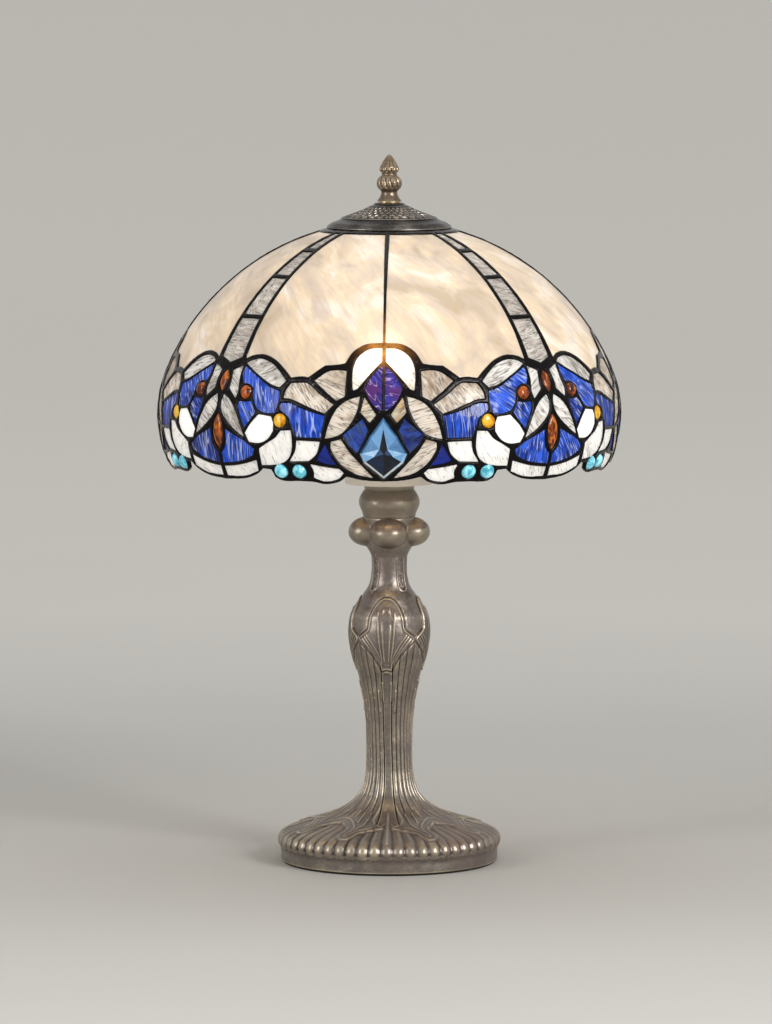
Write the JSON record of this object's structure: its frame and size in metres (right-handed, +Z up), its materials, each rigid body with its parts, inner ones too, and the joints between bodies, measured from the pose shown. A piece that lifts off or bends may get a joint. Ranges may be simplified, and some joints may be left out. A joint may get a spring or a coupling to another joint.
{
  "type": "leaded glass table lamp",
  "caption": "Table lamp with a turned cast base, two tilted lampholders and a leaded stained-glass dome shade with flower medallions, under a pierced cap and finial.",
  "frame": {"origin": "middle of the underside of the felt, on the lamp's axis", "axes": "+Z up along the lamp's axis, -Y towards the front, where one medallion faces; +X to the right seen from the front"},
  "size_m": [0.4032, 0.4032, 0.611],
  "materials": {
    "cast_bronze": "zinc alloy casting with an aged bronze finish, rubbed lighter on the high points",
    "dark_bronze": "zinc alloy casting with a dark bronze finish",
    "antique_brass": "antique brass, worn lighter on the ridges",
    "brass": "plain brass, slightly tarnished",
    "steel": "zinc plated steel",
    "weight_iron": "rough cast iron",
    "felt": "black felt",
    "rubber": "black rubber",
    "solder": "tin-lead solder with a near-black patina, slightly lumpy",
    "ceramic": "glazed white insulator",
    "wire": "insulated wire",
    "shell_metal": "lampholder shell, dark bronze",
    "bulb_cap": "bright screw cap",
    "bulb_glass": "frosted white glass, lit warm",
    "filament": "glowing filament on a glass stem",
    "cream_glass": "pearly opal glass, cream with grey-white streaks",
    "clear_glass": "clear rippled glass",
    "rib_glass": "clear glass with close horizontal ripples",
    "white_glass": "white wispy glass with a glossy rippled face",
    "blue_glass": "cobalt blue glass with white and lavender streaks",
    "deep_blue_glass": "deep cobalt blue glass",
    "violet_glass": "blue-violet glass with a magenta sheen",
    "iridescent_glass": "honey-coloured iridescent glass",
    "steel_blue_jewel": "faceted steel-blue cast jewel",
    "yellow_jewel": "amber-yellow domed jewel",
    "amber_jewel": "brown-amber domed jewel",
    "pale_enamel": "cream enamel over steel",
    "teal_jewel": "turquoise domed jewel"
  },
  "bodies": {
    "base": {"felt_pad": "felt", "base_casting": "cast_bronze", "base_plate": "steel", "base_weight": "weight_iron", "base_washer": "steel", "base_nut": "steel", "cable_bush": "rubber", "centre_pipe": "brass", "lobed_knob": "cast_bronze", "column_collar": "cast_bronze", "collar_nut": "steel", "cluster_body": "pale_enamel", "cluster_lid": "pale_enamel", "lampholder_nipples": "brass", "lampholder_shells": "shell_metal", "lampholder_insulators": "ceramic", "lampholder_liners": "brass", "lampholder_contacts": "brass", "inner_wires": "wire", "riser_rod": "brass", "riser_locknuts": "steel", "shade_wheel": "dark_bronze", "wheel_nuts": "steel", "shade_gasket": "rubber"},
    "front_bulb_cap": {"front_bulb_cap": "bulb_cap"},
    "front_bulb": {"front_bulb_glass": "bulb_glass", "front_bulb_filament": "filament"},
    "rear_bulb_cap": {"rear_bulb_cap": "bulb_cap"},
    "rear_bulb": {"rear_bulb_glass": "bulb_glass", "rear_bulb_filament": "filament"},
    "shade": {"shade_top_ring": "brass", "solder_lattice": "solder", "cream_panels": "cream_glass", "rib_glass": "rib_glass", "arch_petals": "white_glass", "bud_petals": "violet_glass", "iridescent_diamonds": "iridescent_glass", "medallion_leaves": "clear_glass", "medallion_blues": "blue_glass", "kite_jewels": "steel_blue_jewel", "clear_crescents": "clear_glass", "deep_blue_points": "deep_blue_glass", "shoulder_petals": "white_glass", "streaky_blues": "blue_glass", "yellow_jewels": "yellow_jewel", "lower_petals": "white_glass", "teal_cabochons": "teal_jewel", "rim_scallops": "clear_glass", "wing_petals": "white_glass", "wing_blues": "blue_glass", "amber_cabochons": "amber_jewel", "wing_clears": "clear_glass", "marquise_jewels": "amber_jewel", "wing_leaves": "clear_glass", "white_pentagons": "white_glass", "fan_blues": "blue_glass"},
    "vent_cap": {"vent_cap": "dark_bronze"},
    "finial_washer": {"finial_washer": "brass"},
    "finial": {"finial": "antique_brass"}
  },
  "joints": [
    {"name": "front_bulb_draw", "type": "slide", "parent": "base", "child": "front_bulb_cap", "axis": [0, -0.4226, 0.9063], "range_m": [0, 0.0145]},
    {"name": "front_bulb_turn", "type": "hinge", "parent": "front_bulb_cap", "child": "front_bulb", "pos_m": [0, -0.06643, 0.44243], "axis": [0, -0.4226, 0.9063], "range_deg": [0, 1440]},
    {"name": "rear_bulb_draw", "type": "slide", "parent": "base", "child": "rear_bulb_cap", "axis": [0, 0.4226, 0.9063], "range_m": [0, 0.0145]},
    {"name": "rear_bulb_turn", "type": "hinge", "parent": "rear_bulb_cap", "child": "rear_bulb", "pos_m": [0, 0.06643, 0.44243], "axis": [0, 0.4226, 0.9063], "range_deg": [0, 1440]},
    {"name": "shade_lift", "type": "slide", "parent": "base", "child": "shade", "axis": [0, 0, 1], "range_m": [0, 0.28]},
    {"name": "cap_lift", "type": "slide", "parent": "shade", "child": "vent_cap", "axis": [0, 0, 1], "range_m": [0, 0.06]},
    {"name": "finial_rise", "type": "slide", "parent": "vent_cap", "child": "finial_washer", "axis": [0, 0, 1], "range_m": [0, 0.0125]},
    {"name": "finial_turn", "type": "hinge", "parent": "finial_washer", "child": "finial", "pos_m": [0, 0, 0.59], "axis": [0, 0, 1], "range_deg": [0, 3600]}
  ],
  "couplings": [
    {"joint": "front_bulb_draw", "follows": "front_bulb_turn", "m_per_rad": 0.000576},
    {"joint": "rear_bulb_draw", "follows": "rear_bulb_turn", "m_per_rad": 0.000576},
    {"joint": "finial_rise", "follows": "finial_turn", "m_per_rad": 0.000198}
  ]
}
